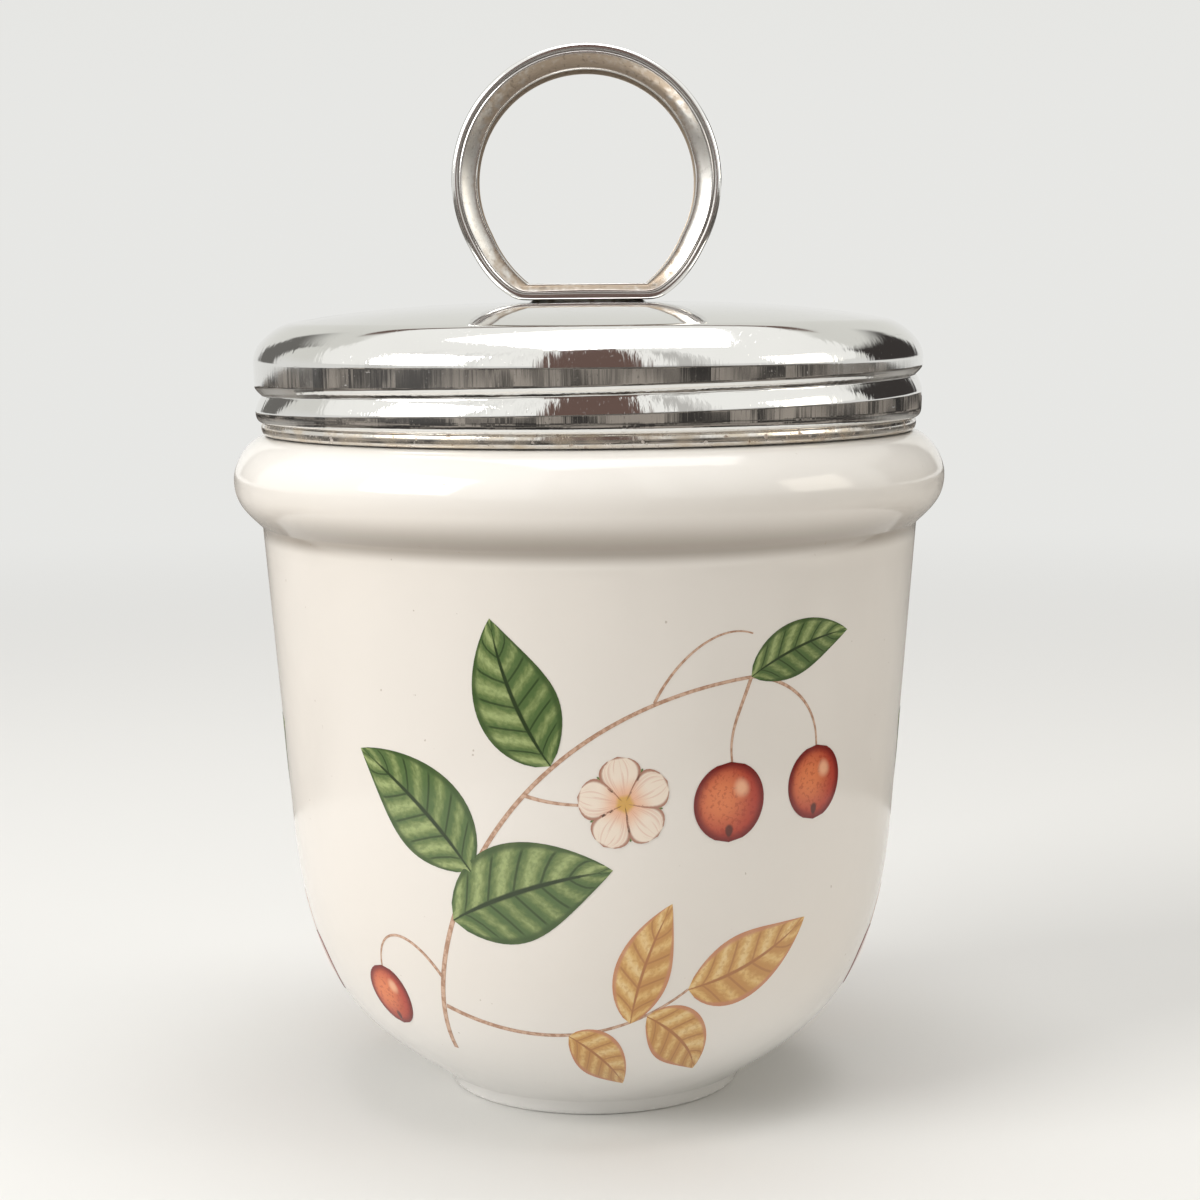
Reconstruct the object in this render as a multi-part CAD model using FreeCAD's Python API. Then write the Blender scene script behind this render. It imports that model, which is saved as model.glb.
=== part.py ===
import FreeCAD, Part
import math
import os

from FreeCAD import Vector

# A one-egg coddler in millimetres: a porcelain pot with a rolled collar and a neck, and a pressed
# metal lid with a lifting ring. +Z is up. The origin is on the pot's axis, in the plane that the foot ring
# stands on. The front is -Y, and the lid is screwed home.

# ---------------------------------------------------------------- driving dimensions: the pot
FOOT_RADIUS = 13.2           # outside of the foot ring where it stands
FOOT_HEIGHT = 1.35           # up to where the body starts to swell
FOOT_FLARE = 0.7             # the foot ring widens by this much up to the body
FOOT_LAND = 1.5              # width of the ring that touches the table
FOOT_RECESS = 1.1            # how far the underside is lifted inside the foot ring
BELLY_SLOPE = 36.0           # slope of the body where it leaves the foot ring, degrees
BELLY_LOW_PULL = 7.8         # how long the belly's curve keeps that slope
BELLY_HIGH_PULL = 17.0       # how long the belly's curve follows the side's taper
SIDE_START_RADIUS = 27.4     # where the straight taper of the side begins
SIDE_START_HEIGHT = 25.0
SIDE_TOP_RADIUS = 29.5       # under the rolled collar
SIDE_TOP_HEIGHT = 51.4
COLLAR_OVERHANG = 2.5        # how far the rolled collar stands out from the side
COLLAR_LOW_RISE = 4.5        # from the side's top up to the collar's widest point
COLLAR_HIGH_RISE = 3.9       # from there up to the ledge under the lid
NECK_RADIUS = 28.25          # outside of the neck, under its thread
NECK_HEIGHT = 7.4            # from the ledge up to the rim
SIDE_WALL = 3.0              # porcelain where the side's taper begins
FLOOR_WALL = 3.6             # porcelain under the egg
FLOOR_RADIUS = 11.0          # flat middle of the floor
BOWL_PULL = 4.5              # the bowl's wall points at this height over the floor
RIM_EDGE = 0.8               # bevel of the rim

# ---------------------------------------------------------------- driving dimensions: the lid
SHEET = 0.45                 # thickness of the pressed metal
THREAD_ROOM = 0.55           # height of the neck's thread, which the hem must clear
HEM_PASS = 0.2               # air between the hem and that thread as the lid comes off
HEM_INSET = 0.6              # the skirt's beads stand out from the hem by this much
HEM_HEIGHT = 0.9
HEM_LIFT = 0.15              # air between the hem and the pot's ledge
BEAD_SLOPE = 0.7             # height of the slope from the hem out to the skirt
SHOULDER_ROUND = 1.4         # rounding of the lid's upper edge
CROWN_RISE = 4.1             # the dome's height above the centre of that rounding
SEAL_THICKNESS = 1.1         # the washer between rim and lid
SEAL_WIDTH = 2.4
SEAL_INSET = 0.3             # from the neck's outside to the washer's
SEAL_PLAY = 0.1              # air between the washer and the dome

# ---------------------------------------------------------------- driving dimensions: the ring
RING_RADIUS = 12.0           # outside of the lifting ring
RING_RISE = 10.5             # from its flat base up to its centre
RING_WIDTH = 7.0             # width of the strip, front to back
RING_STRIP = 0.5             # thickness of the strip
RING_BEND = 1.0              # outside bend between the round and the flat base
RING_EDGE = 0.45             # bevel of the strip's outer edges
FINGER_RADIUS = 9.7          # the opening between the turned-in edges
FINGER_LEG_ANGLE = 28.0      # the opening's legs begin this far below level, degrees
FINGER_LEG_BOW = 0.32        # how far the legs bulge
FINGER_BASE_WIDTH = 10.6     # the opening's flat bottom
FINGER_BASE_METAL = 1.5      # from the flat base up to the opening
SOLDER_BED = 0.15            # solder between crown and strip on the axis
SOLDER_DEPTH = 1.0           # how far down the solder's block starts in the dome
SOLDER_INSET = 0.3           # how far the solder stays inside the flat base

# ---------------------------------------------------------------- straight steps in each curve
BELLY_STEPS = 5
BOWL_STEPS = 3
COLLAR_STEPS = 2             # in the collar's lower half, and in its upper half
SHOULDER_STEPS = 2

FULL_TURN = 360.0
UP = Vector(0, 0, 1)
FORWARD = Vector(0, -1, 0)
ORIGIN = Vector(0, 0, 0)

# ---------------------------------------------------------------- sizes that follow
foot_top_radius = FOOT_RADIUS + FOOT_FLARE
collar_radius = SIDE_TOP_RADIUS + COLLAR_OVERHANG
collar_height = SIDE_TOP_HEIGHT + COLLAR_LOW_RISE
ledge_height = collar_height + COLLAR_HIGH_RISE
rim_height = ledge_height + NECK_HEIGHT
bore_radius = SIDE_START_RADIUS - SIDE_WALL
floor_height = FOOT_RECESS + FLOOR_WALL

hem_bore = NECK_RADIUS + THREAD_ROOM + HEM_PASS
hem_radius = hem_bore + SHEET
skirt_radius = hem_radius + HEM_INSET
hem_bottom = ledge_height + HEM_LIFT
hem_top = hem_bottom + HEM_HEIGHT

shoulder_centre_radius = skirt_radius - SHOULDER_ROUND
dome_radius = ((shoulder_centre_radius ** 2 + CROWN_RISE ** 2 - SHOULDER_ROUND ** 2)
               / (2 * (CROWN_RISE - SHOULDER_ROUND)))
seal_outer_radius = NECK_RADIUS - SEAL_INSET
dome_drop_at_seal = dome_radius - math.sqrt(dome_radius ** 2 - seal_outer_radius ** 2)
crown_height = rim_height + SEAL_THICKNESS + SEAL_PLAY + SHEET + dome_drop_at_seal
dome_centre = Vector(0, 0, crown_height - dome_radius)
shoulder_height = crown_height - CROWN_RISE

ring_base = crown_height + SOLDER_BED


# ---------------------------------------------------------------- helpers
def at(radius, height):
    """A point of a profile, in the half plane of X and Z."""
    return Vector(radius, 0, height)


def polar(centre, radius, degrees):
    """A point at a distance and direction from a centre, in the plane of X and Z."""
    angle = math.radians(degrees)
    return centre + Vector(radius * math.cos(angle), 0, radius * math.sin(angle))


def lines(*points):
    """Straight edges through the points."""
    return [Part.LineSegment(a, b).toShape() for a, b in zip(points, points[1:])]


def curve(steps, *poles):
    """Straight steps along the curve from the first pole to the last, pulled by those between."""
    bezier = Part.BezierCurve()
    bezier.setPoles(list(poles))
    return [bezier.value(step / steps) for step in range(steps + 1)]


def arc(start, middle, end):
    return Part.Arc(start, middle, end).toShape()


def spun(points):
    """The solid that a closed profile sweeps in one turn about the object's axis."""
    face = Part.Face(Part.Wire(lines(*points, points[0])))
    return face.revolve(ORIGIN, UP, FULL_TURN)


def slab(edges, width):
    """A closed outline in the plane of X and Z, as thick as width and centred on that plane."""
    face = Part.Face(Part.Wire(edges))
    face.translate(Vector(0, -width / 2, 0))
    return face.extrude(Vector(0, width, 0))


# ---------------------------------------------------------------- the pot
def foot():
    """The foot ring, from the recess under the floor round to where the body swells."""
    inside = FOOT_RADIUS - FOOT_LAND
    return [at(0, FOOT_RECESS), at(inside - FOOT_RECESS, FOOT_RECESS), at(inside, 0), at(FOOT_RADIUS, 0)]


def belly():
    """The low curve of the body, from the foot ring to the straight side."""
    start = at(foot_top_radius, FOOT_HEIGHT)
    side = at(SIDE_START_RADIUS, SIDE_START_HEIGHT)
    taper = at(SIDE_TOP_RADIUS, SIDE_TOP_HEIGHT) - side
    taper.normalize()
    return curve(BELLY_STEPS, start, polar(start, BELLY_LOW_PULL, BELLY_SLOPE),
                 side - taper * BELLY_HIGH_PULL, side)


def collar():
    """The rolled collar: out from the side, round its widest point and in to the ledge."""
    side = at(SIDE_TOP_RADIUS, SIDE_TOP_HEIGHT)
    widest = at(collar_radius, collar_height)
    ledge = at(hem_bore, ledge_height)
    under = curve(COLLAR_STEPS, side, side + at(COLLAR_OVERHANG / 3, COLLAR_LOW_RISE / 3),
                  widest - at(0, COLLAR_LOW_RISE / 3), widest)
    over = curve(COLLAR_STEPS, widest, widest + at(0, COLLAR_HIGH_RISE / 2),
                 ledge + at((collar_radius - hem_bore) / 2, 0), ledge)
    return under + over[1:]


def neck():
    """The neck that the lid screws on, up from the ledge and over the rim into the bore."""
    return [at(NECK_RADIUS, ledge_height), at(NECK_RADIUS, rim_height - RIM_EDGE),
            at(NECK_RADIUS - RIM_EDGE, rim_height), at(bore_radius + RIM_EDGE, rim_height),
            at(bore_radius, rim_height - RIM_EDGE)]


def bowl():
    """The bottom of the glazed inside, from the bore's wall to the middle of the floor."""
    corner = at(bore_radius, floor_height + BOWL_PULL)
    return curve(BOWL_STEPS, at(bore_radius, SIDE_START_HEIGHT), corner,
                 at(FLOOR_RADIUS, floor_height)) + [at(0, floor_height)]


def pot():
    return spun(foot() + belly() + collar() + neck() + bowl())


# ---------------------------------------------------------------- the lid
def full_lid(skin):
    """The lid as a full block, skin deep in the sheet: hem, skirt, rounded edge and dome."""
    hem = hem_radius - skin
    skirt = skirt_radius - skin
    underside = hem_top + skin
    shoulder = at(shoulder_centre_radius, shoulder_height)
    reach = shoulder - dome_centre
    tilt = math.degrees(math.atan2(reach.z, reach.x))
    rounding = [polar(shoulder, SHOULDER_ROUND - skin, tilt * step / SHOULDER_STEPS)
                for step in range(SHOULDER_STEPS + 1)]
    block = spun([at(0, hem_bottom), at(hem, hem_bottom), at(hem, underside),
                  at(skirt, underside + BEAD_SLOPE), *rounding,
                  at(rounding[-1].x, crown_height), at(0, crown_height)])
    return block.common(Part.makeSphere(dome_radius - skin, dome_centre, FORWARD))


def lid_shell():
    return full_lid(0).cut(full_lid(SHEET))


def lid_seal():
    """A flat washer on the rim."""
    seal_bore = seal_outer_radius - SEAL_WIDTH
    seal_top = rim_height + SEAL_THICKNESS
    return spun([at(seal_bore, rim_height), at(seal_outer_radius, rim_height),
                 at(seal_outer_radius, seal_top), at(seal_bore, seal_top)])


# ---------------------------------------------------------------- the lifting ring
def ring_outline(inset):
    """The ring's outline, inset from its outside: a round with a flat base and two bends."""
    radius = RING_RADIUS - inset
    bend = max(RING_BEND - inset, RING_STRIP / 2)
    base = ring_base + inset
    centre = at(0, ring_base + RING_RISE)
    bend_drop = RING_RISE - inset - bend
    bend_side = math.sqrt((radius - bend) ** 2 - bend_drop ** 2)
    bend_angle = math.degrees(math.atan2(bend_drop, bend_side))
    right = at(bend_side, base + bend)
    left = at(-bend_side, base + bend)
    half_turn = FULL_TURN / 2
    down = -FULL_TURN / 4
    round_edge = arc(polar(centre, radius, -bend_angle), polar(centre, radius, FULL_TURN / 4),
                     polar(centre, radius, half_turn + bend_angle))
    left_bend = arc(polar(left, bend, half_turn + bend_angle),
                    polar(left, bend, half_turn + (bend_angle - down) / 2), polar(left, bend, down))
    right_bend = arc(polar(right, bend, down), polar(right, bend, (down - bend_angle) / 2),
                     polar(right, bend, -bend_angle))
    return [round_edge, left_bend] + lines(polar(left, bend, down), polar(right, bend, down)) + [right_bend]


def finger_outline():
    """The opening between the turned-in edges: a round, two bowed legs and a flat bottom."""
    centre = at(0, ring_base + RING_RISE)
    half_turn = FULL_TURN / 2
    right_leg = polar(centre, FINGER_RADIUS, -FINGER_LEG_ANGLE)
    left_leg = polar(centre, FINGER_RADIUS, half_turn + FINGER_LEG_ANGLE)
    right_foot = at(FINGER_BASE_WIDTH / 2, ring_base + FINGER_BASE_METAL)
    left_foot = at(-FINGER_BASE_WIDTH / 2, ring_base + FINGER_BASE_METAL)
    bow = Vector(FINGER_LEG_BOW, 0, -FINGER_LEG_BOW / 2)
    mirrored_bow = Vector(-FINGER_LEG_BOW, 0, -FINGER_LEG_BOW / 2)
    top = arc(right_leg, polar(centre, FINGER_RADIUS, FULL_TURN / 4), left_leg)
    left = arc(left_leg, (left_leg + left_foot) / 2 + mirrored_bow, left_foot)
    right = arc(right_foot, (right_leg + right_foot) / 2 + bow, right_leg)
    return [top, left] + lines(left_foot, right_foot) + [right]


def lifting_ring():
    """A strip bent to a ring with both edges turned in, so that it is a channel inside."""
    outside = slab(ring_outline(0), RING_WIDTH)
    sharp_edges = [edge for face in outside.Faces if abs(face.normalAt(0, 0).y) > 1 / 2
                   for edge in face.Edges]
    outside = outside.makeChamfer(RING_EDGE, sharp_edges)
    channel = slab(ring_outline(RING_STRIP), RING_WIDTH - 2 * RING_STRIP)
    opening = slab(finger_outline(), 2 * RING_WIDTH)
    return outside.cut(channel).cut(opening)


def ring_solder():
    """The bed of solder that fills the wedge between the flat base and the dome."""
    base_half = math.sqrt(RING_RADIUS ** 2 - RING_RISE ** 2) - SOLDER_INSET
    depth_half = RING_WIDTH / 2 - SOLDER_INSET
    bed = Part.makeBox(2 * base_half, 2 * depth_half, SOLDER_DEPTH + SOLDER_BED)
    bed.translate(Vector(-base_half, -depth_half, crown_height - SOLDER_DEPTH))
    return bed.cut(Part.makeSphere(dome_radius, dome_centre, FORWARD))


# ---------------------------------------------------------------- write the pieces
PIECES = {
    "pot": pot,
    "lid_shell": lid_shell,
    "lid_seal": lid_seal,
    "lifting_ring": lifting_ring,
    "ring_solder": ring_solder,
}

os.makedirs("parts", exist_ok=True)
for name, make in PIECES.items():
    shape = make()
    print(name, "solids", len(shape.Solids), "valid", shape.isValid(), "box", shape.BoundBox)
    shape.Solids[0].exportStep(f"parts/{name}.step")
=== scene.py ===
# %% [markdown]
# # An egg coddler in porcelain and chromed steel
# A coddler is a small lidded pot in which an egg cooks in hot water. This lesson dresses a CAD model
# of one: a porcelain pot with a rolled collar, a pressed metal lid that screws on, and a lifting ring
# bent from a strip. Every piece takes its place from the CAD frame, so nothing is fitted by eye.

# %% Load the frame
from math import atan, atan2, cos, hypot, pi, radians, sin, sqrt

import bmesh
import bpy
from mathutils import Matrix, Vector


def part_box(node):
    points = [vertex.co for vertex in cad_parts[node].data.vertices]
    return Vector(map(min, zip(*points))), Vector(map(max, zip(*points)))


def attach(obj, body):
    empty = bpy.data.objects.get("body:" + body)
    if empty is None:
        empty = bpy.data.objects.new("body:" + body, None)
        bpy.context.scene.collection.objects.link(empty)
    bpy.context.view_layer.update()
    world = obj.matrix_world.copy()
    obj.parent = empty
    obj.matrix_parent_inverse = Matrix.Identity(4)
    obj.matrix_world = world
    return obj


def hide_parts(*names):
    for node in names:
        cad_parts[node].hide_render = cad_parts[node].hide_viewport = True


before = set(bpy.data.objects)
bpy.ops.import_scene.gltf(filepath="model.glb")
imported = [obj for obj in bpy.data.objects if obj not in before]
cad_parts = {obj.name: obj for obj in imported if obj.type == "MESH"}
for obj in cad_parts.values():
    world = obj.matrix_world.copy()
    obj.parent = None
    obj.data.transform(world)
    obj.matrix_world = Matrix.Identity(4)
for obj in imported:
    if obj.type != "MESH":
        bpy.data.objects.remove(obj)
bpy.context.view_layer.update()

# %% [markdown]
# ## Sizes
# Potters and press makers think in millimetres and Blender in metres, so the profiles below are
# written in millimetres and one helper turns them into metres. What the CAD already knows, such as
# the height of the rim, is read from the frame and isn't typed again.

# %% Read the main sizes from the frame
MM = 0.001
FULL_TURN = 2 * pi


def box_mm(node):
    """Lowest and highest corner of a CAD node in millimetres."""
    return [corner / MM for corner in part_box(node)]


def round_turns(count):
    """Turns all the way round, in equal steps."""
    return [FULL_TURN * i / count for i in range(count)]


def direction(turn):
    return Vector((cos(turn), sin(turn)))


pot_low, pot_high = box_mm("pot")
lid_low, lid_high = box_mm("lid_shell")
ring_low, ring_high = box_mm("lifting_ring")
seal_low, seal_high = box_mm("lid_seal")
solder_high = box_mm("ring_solder")[1]
collar_radius, rim_height = -pot_low.x, pot_high.z
skirt_radius, hem_bottom, crown_height = lid_high.x, lid_low.z, lid_high.z
print("collar", round(collar_radius, 2), "rim", round(rim_height, 2), "crown", round(crown_height, 2))

# %% [markdown]
# ## The camera
# A viewpoint just above the lid and a few degrees of downward tilt, with a fairly long lens, show the
# pot's roundness without stretching it.

# %% Set up the camera
CAMERA_PLACE = (0.87, -227.3, 72.3)
CAMERA_TILT = 7.03
CAMERA_ROLL = -0.51
LENS = 75.09
SENSOR = 36.0
NEAREST = 0.01


def add_object(name, data):
    """A new object in the scene, at the origin."""
    made = bpy.data.objects.new(name, data)
    bpy.context.scene.collection.objects.link(made)
    return made


camera = add_object("camera", bpy.data.cameras.new("camera"))
camera.data.sensor_width = SENSOR
camera.data.lens = LENS
camera.data.clip_start = NEAREST
tilt = Matrix.Rotation(radians(90 - CAMERA_TILT), 4, "X")
roll = Matrix.Rotation(radians(CAMERA_ROLL), 4, "Z")
camera.matrix_world = Matrix.Translation(Vector(CAMERA_PLACE) * MM) @ tilt @ roll
bpy.context.scene.camera = camera
bpy.context.scene.view_settings.view_transform = "Standard"
print("camera at", CAMERA_PLACE, "mm, lens", LENS)

# %% [markdown]
# ## Node trees as sums
# Materials and Geometry Nodes are both trees of small nodes. One class makes any node, and a second
# wraps an output so that ordinary Python sums add Math nodes: `1 - mask * 0.5` adds two of them in
# one line. The same two classes serve both kinds of tree.


# %% Write the node helpers
def operator(operation, reflected=False):
    """A Python operator that adds one Math node."""
    def act(self, other):
        return self.tree.math(operation, *((other, self) if reflected else (self, other)))
    return act


class Socket:
    """An output that takes part in sums."""

    def __init__(self, tree, socket):
        self.tree = tree
        self.socket = socket

    def math(self, operation, *others):
        return self.tree.math(operation, self, *others)

    def __neg__(self):
        return self * -1

    def __abs__(self):
        return self.math("ABSOLUTE")

    __add__ = operator("ADD")
    __radd__ = operator("ADD", True)
    __sub__ = operator("SUBTRACT")
    __rsub__ = operator("SUBTRACT", True)
    __mul__ = operator("MULTIPLY")
    __rmul__ = operator("MULTIPLY", True)
    __truediv__ = operator("DIVIDE")
    __rtruediv__ = operator("DIVIDE", True)
    __pow__ = operator("POWER")
    __rpow__ = operator("POWER", True)


class Tree:
    """Adds nodes to a shader tree or a geometry tree."""

    def __init__(self, tree):
        self.tree = tree

    def node(self, kind, inputs=None, output=0, **settings):
        """One node: its settings first, then its sockets' values or links. Returns an output."""
        made = self.tree.nodes.new(kind)
        for name, value in settings.items():
            setattr(made, name, value)
        for key, value in (inputs or {}).items():
            if isinstance(value, Socket):
                self.tree.links.new(value.socket, made.inputs[key])
            else:
                made.inputs[key].default_value = value
        return Socket(self, made.outputs[output]) if len(made.outputs) else None

    def math(self, operation, *values):
        return self.node("ShaderNodeMath", dict(enumerate(values)), operation=operation)

    def larger(self, first, second):
        return self.math("MAXIMUM", first, second)

    def vector(self, operation, *values, output=0, **named):
        inputs = {**dict(enumerate(values)), **named}
        return self.node("ShaderNodeVectorMath", inputs, output, operation=operation)

    def combine(self, x=0.0, y=0.0, z=0.0):
        return self.node("ShaderNodeCombineXYZ", {0: x, 1: y, 2: z})

    def split(self, vector):
        parts = self.node("ShaderNodeSeparateXYZ", {0: vector}).socket.node
        return [Socket(self, output) for output in parts.outputs]

    def ramp(self, value, low, high):
        """0 below low, 1 above high and smooth between. Low may be the larger one."""
        return self.node("ShaderNodeMapRange", {"Value": value, "From Min": low, "From Max": high},
                         interpolation_type="SMOOTHSTEP")

    def mix(self, factor, first, second):
        """A blend of two colours."""
        return self.node("ShaderNodeMix", {0: factor, 6: first, 7: second}, 2, data_type="RGBA")

    def layers(self, color, *painted):
        """Colours laid over the first in turn, each one through its mask."""
        for mask, paint in painted:
            color = self.mix(mask, color, paint)
        return color

    def found(self, kind):
        """The node of one kind that the tree came with."""
        return next(node for node in self.tree.nodes if node.type == kind)

    def show(self, shader, output):
        self.tree.links.new(shader.socket, self.found(output).inputs["Surface"])


print("sums and trees are ready")

# %% [markdown]
# ## Materials as sums
# Most finishes here are one Principled shader with a few sockets that vary over the surface. So a
# material is a tree that knows its shader, reads places in millimetres, stacks bumps whose depths
# are real ones, and takes all the shader's values in one call.


# %% Write the material helper
class Finish(Tree):
    """A material whose Principled shader is fed by sums."""

    def __init__(self, name):
        self.material = bpy.data.materials.new(name)
        self.material.use_nodes = True
        super().__init__(self.material.node_tree)
        self.shader = self.found("BSDF_PRINCIPLED")

    def coordinates(self, scale=(1, 1, 1)):
        """Object coordinates in millimetres, stretched by scale."""
        place = self.node("ShaderNodeTexCoord", output="Object")
        return self.vector("MULTIPLY", place, [factor / MM for factor in scale])

    def noise(self, vector, scale, detail=3.0):
        return self.node("ShaderNodeTexNoise", {"Vector": vector, "Scale": scale, "Detail": detail})

    def bump(self, *heights):
        """A normal from pairs of a height, 0 to 1, and the millimetres that 1 stands for."""
        inputs = {"Strength": 1.0}
        for height, depth in heights:
            inputs.update(Height=height, Distance=depth * MM)
            inputs["Normal"] = self.node("ShaderNodeBump", inputs)
        return inputs["Normal"]

    def set(self, **inputs):
        """Feed the Principled shader: names are its sockets with _ for a space. Returns the material."""
        for name, value in inputs.items():
            target = self.shader.inputs[name.replace("_", " ")]
            if isinstance(value, Socket):
                self.tree.links.new(value.socket, target)
            else:
                target.default_value = value
        return self.material


print("materials are ready")

# %% [markdown]
# ## The floor
# A round pale table top fades into an even backdrop, so no horizon line cuts through the pot. Near
# the pot it is an ordinary matt surface that takes the shadow, and further out it glows softly in the
# backdrop's own colour. Mixing two shaders by the distance from the middle does both.

# %% Build the floor
BACKDROP = (0.80, 0.80, 0.78, 1)
FLOOR = (0.76, 0.755, 0.735, 1)
TABLE_RADIUS = 0.75
TABLE_EVEN, TABLE_GONE = 0.12, 0.55
STAGE_SIDES = 96


def studio_piece(name, points, faces, material):
    """A mesh from its points and faces, for the things that stand round the object."""
    mesh = bpy.data.meshes.new(name)
    mesh.from_pydata(points, [], faces)
    mesh.materials.append(material)
    return add_object(name, mesh)


def table_top():
    table = Finish("table_top")
    table.set(Base_Color=FLOOR, Roughness=1.0, Specular_IOR_Level=0.0)
    away = table.vector("LENGTH", table.node("ShaderNodeTexCoord", output="Object"), output="Value")
    plain = table.node("ShaderNodeEmission", {"Color": BACKDROP, "Strength": 1.0})
    lit = Socket(table, table.shader.outputs[0])
    fade = table.ramp(away, TABLE_EVEN, TABLE_GONE)
    table.show(table.node("ShaderNodeMixShader", {0: fade, 1: lit, 2: plain}), "OUTPUT_MATERIAL")
    return table.material


edge = [(TABLE_RADIUS * cos(turn), TABLE_RADIUS * sin(turn), 0) for turn in round_turns(STAGE_SIDES)]
floor = studio_piece("floor", edge, [list(range(STAGE_SIDES))], table_top())
print("floor radius", TABLE_RADIUS, "m")

# %% [markdown]
# ## The room
# Diffuse rays meet an even room, which lights the pot from all sides. The camera and the metal see a
# painted one, because chrome with nothing dark to mirror looks like grey paint. It has a bright
# ceiling, a dark beam where the back wall meets it, a few shaded bays in front, and three upright
# things that stand above the horizon: a figure, a curtain on the right and a card on the left.
# Each is a mask over the direction, painted one over the other.

# %% Paint the room
ROOM, ROOM_STRENGTH = (1.0, 0.99, 0.97, 1), 0.40
WALL, FRONT_WALL = (0.74, 0.74, 0.70, 1), 0.12
CEILING = (1.0, 1.0, 0.97, 1)
WALL_FADE, WALL_BACK, CEILING_FADE = (0.05, 0.35), (0.15, 0.5), (0.0, 0.04)
BEAM, BEAM_HEIGHT, BEAM_HALF = (0.15, 0.10, 0.085, 1), 0.70, 0.028
BEAM_ENDS, BEAM_SOLID = (0.55, 0.62), 0.6
BAY, BAYS, BAY_DEPTH = (0.22, 0.205, 0.19, 1), 2.6, 0.55
BAY_EDGES, BAY_FRONT, BAY_TOP = (0.50, 0.62), (0.05, 0.5), (0.95, 0.75)
HORIZON = 0.03
UPRIGHTS = [
    # colour, bearing, half its width, where its side is solid, height of its top, where that is solid
    ((0.155, 0.10, 0.085, 1), 0.02, 0.35, 0.7, 0.97, 0.92),
    ((0.045, 0.04, 0.038, 1), radians(131), radians(23), 0.85, 0.55, 0.40),
    ((0.16, 0.155, 0.145, 1), radians(-142), radians(11), 0.8, 0.62, 0.45),
]


def paint_room():
    world = bpy.data.worlds.new("studio")
    world.use_nodes = True
    bpy.context.scene.world = world
    sky = Tree(world.node_tree)
    room = sky.found("BACKGROUND")
    room.inputs["Color"].default_value = ROOM
    room.inputs["Strength"].default_value = ROOM_STRENGTH
    x, y, z = sky.split(sky.node("ShaderNodeTexCoord", output="Generated"))
    bearing = sky.math("ARCTAN2", x, -y)
    standing = sky.ramp(z, 0.0, HORIZON)
    wall_top = sky.ramp(y, *WALL_BACK) * (BEAM_HEIGHT - FRONT_WALL) + FRONT_WALL
    beam = sky.ramp(abs(z - BEAM_HEIGHT), BEAM_HALF, BEAM_HALF * BEAM_SOLID) * sky.ramp(y, *BEAM_ENDS)
    rows = sky.node("ShaderNodeTexNoise", {"W": bearing, "Scale": BAYS, "Detail": 2.0},
                    noise_dimensions="1D")
    bays = sky.ramp(rows, *BAY_EDGES) * sky.ramp(-y, *BAY_FRONT) * sky.ramp(z, *BAY_TOP) * standing
    uprights = [(sky.ramp(abs(bearing - middle), half, half * solid) * sky.ramp(z, top, solid_top)
                 * standing, paint) for paint, middle, half, solid, top, solid_top in UPRIGHTS]
    color = sky.layers(BACKDROP, (sky.ramp(z, *WALL_FADE), WALL),
                       (sky.ramp(z - wall_top, *CEILING_FADE), CEILING), (beam, BEAM),
                       (bays * BAY_DEPTH, BAY), *uprights)
    painted = sky.node("ShaderNodeBackground", {"Color": color, "Strength": 1.0})
    rays = [sky.node("ShaderNodeLightPath", output=name)
            for name in ("Is Camera Ray", "Is Glossy Ray", "Is Transmission Ray")]
    seen = sky.larger(sky.larger(rays[0], rays[1]), rays[2])
    even = Socket(sky, room.outputs[0])
    sky.show(sky.node("ShaderNodeMixShader", {0: seen, 1: even, 2: painted}), "OUTPUT_WORLD")


paint_room()
print("room painted, backdrop", BACKDROP[:3])

# %% [markdown]
# ## Dark card round the set
# Low down, studios lay black card round shiny things, and that gives each bead of the lid its dark
# lower edge. Here it is one sloping ring, higher in front, that only mirrors see. Behind the pot it
# turns grey close in, so that the glaze keeps its soft edges.

# %% Lay the card
FLAG_INNER, FLAG_OUTER, FLAG_LIFT = 115, 520, 1
FLAG_BACK, FLAG_FRONT = 40, 84
FLAG_PALE, FLAG_DARK, FLAG_BEHIND = 150, 380, (20, 120)
FLAG_BLACK, FLAG_BROWN = (0.02, 0.018, 0.017, 1), (0.30, 0.27, 0.24, 1)
FLAG_GREY = (0.36, 0.35, 0.33, 1)


def flag_card():
    card = Finish("flag_card")
    place = card.coordinates()
    mottle = card.ramp(card.noise(place, 0.02), 0.42, 0.66)
    away = card.vector("LENGTH", place, output="Value")
    pale = card.ramp(away, FLAG_DARK, FLAG_PALE) * card.ramp(card.split(place)[1], *FLAG_BEHIND)
    color = card.layers(FLAG_BLACK, (mottle, FLAG_BROWN), (pale, FLAG_GREY))
    return card.set(Base_Color=color, Roughness=0.9, Specular_IOR_Level=0.1)


points = []
for turn in round_turns(STAGE_SIDES):
    x, y = cos(turn), sin(turn)
    height = FLAG_BACK + (FLAG_FRONT - FLAG_BACK) * max(0.0, -y) ** 0.5
    points += [Vector((FLAG_INNER * x, FLAG_INNER * y, FLAG_LIFT)) * MM,
               Vector((FLAG_OUTER * x, FLAG_OUTER * y, height)) * MM]
count = len(points)
flag = studio_piece("flag", points, [(i, i + 1, (i + 3) % count, (i + 2) % count)
                                     for i in range(0, count, 2)], flag_card())
flag.visible_camera = False
flag.visible_diffuse = False
flag.visible_shadow = False
print("card laid from", FLAG_INNER, "to", FLAG_OUTER, "mm")

# %% [markdown]
# ## Studio light
# Three large soft lamps: the main one up to the left, a weaker one to the right that keeps the
# shaded side warm, and one overhead that lights the dome and the shelf of the collar.

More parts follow.
